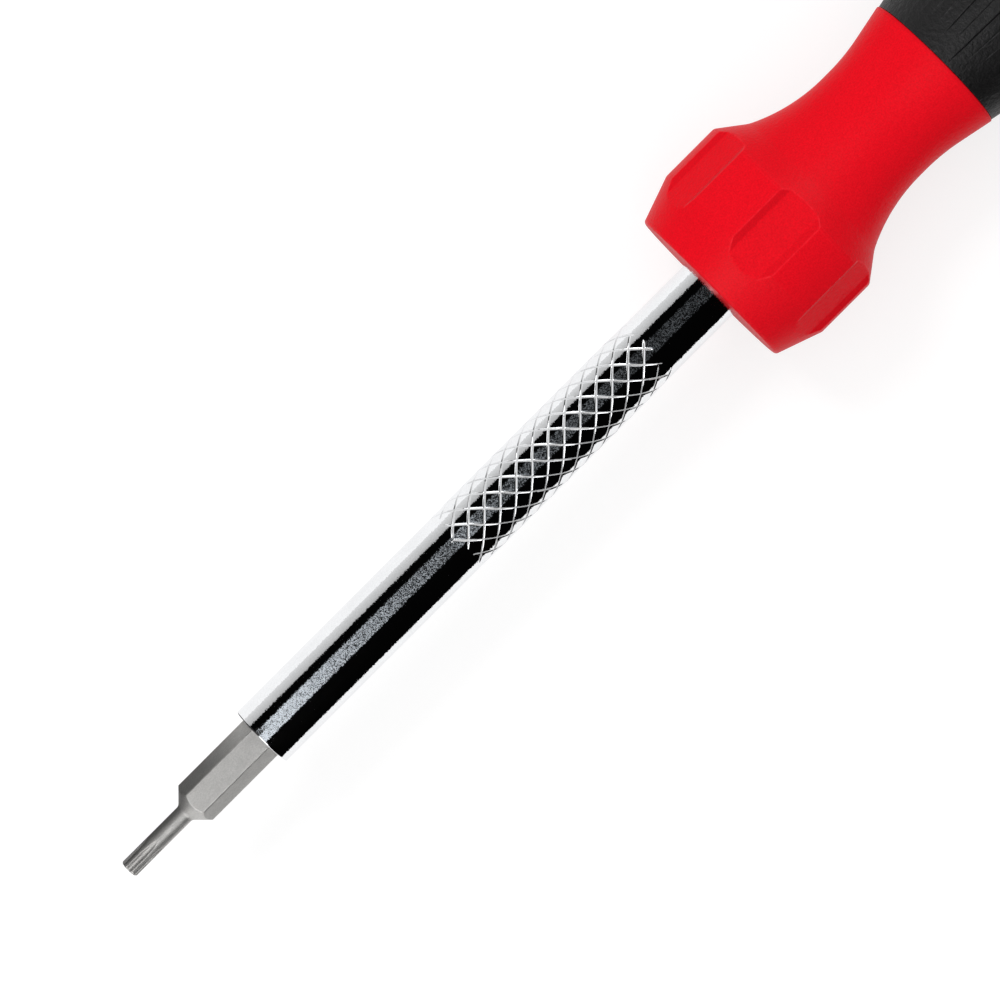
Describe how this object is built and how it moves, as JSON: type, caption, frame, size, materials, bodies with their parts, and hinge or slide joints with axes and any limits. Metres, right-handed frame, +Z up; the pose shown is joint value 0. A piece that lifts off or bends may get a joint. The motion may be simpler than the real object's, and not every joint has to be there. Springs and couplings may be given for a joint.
{
  "type": "pocket screwdriver",
  "caption": "Pocket screwdriver with a magnetic hex bit socket, a knurled chrome shaft, a waisted red handle with a black grip, a pull-out cartridge of spare bits and a free-turning cap.",
  "frame": {"origin": "on the ground under the middle of the tool's box, lying on its grip with a collar pocket facing down", "axes": "+X along the tool from the bit's tip to the palm cap, +Z up with a collar pocket facing straight up"},
  "size_m": [0.1749, 0.0204, 0.0199],
  "materials": {
    "bit_steel": "matte grey tool steel with turning marks",
    "chrome": "polished chrome plate",
    "magnet": "nickel-plated",
    "red_plastic": "fine spark-eroded grain",
    "black_rubber": "matte with fine lengthwise grooves",
    "dark_plastic": "matte moulded",
    "washer_plastic": "natural",
    "screw_steel": "zinc-plated"
  },
  "bodies": {
    "handle": {"shaft": "chrome", "socket_magnet": "magnet", "handle_body": "red_plastic", "grip_sleeve": "black_rubber", "mouth_ring": "dark_plastic"},
    "bit": {"driver_bit": "bit_steel"},
    "cartridge": {"cartridge_carrier": "dark_plastic", "spare_bit_cross": "bit_steel", "spare_bit_slotted": "bit_steel", "spare_bit_six_lobe": "bit_steel", "spare_bit_hex": "bit_steel", "spare_bit_square": "bit_steel", "spare_bit_tri_wing": "bit_steel", "seal_ring": "black_rubber", "thrust_washer": "washer_plastic", "cap_screw": "screw_steel"},
    "cap": {"swivel_cap": "red_plastic", "cap_cover": "dark_plastic"}
  },
  "joints": [
    {"name": "bit_slide", "type": "slide", "parent": "handle", "child": "bit", "axis": [-1, 0, 0], "range_m": [0, 0.012]},
    {"name": "cartridge_slide", "type": "slide", "parent": "handle", "child": "cartridge", "axis": [1, 0, 0], "range_m": [0, 0.0351]},
    {"name": "cap_spin", "type": "hinge", "parent": "cartridge", "child": "cap", "pos_m": [0.08, 0, 0.00993], "axis": [1, 0, 0], "continuous": true}
  ]
}
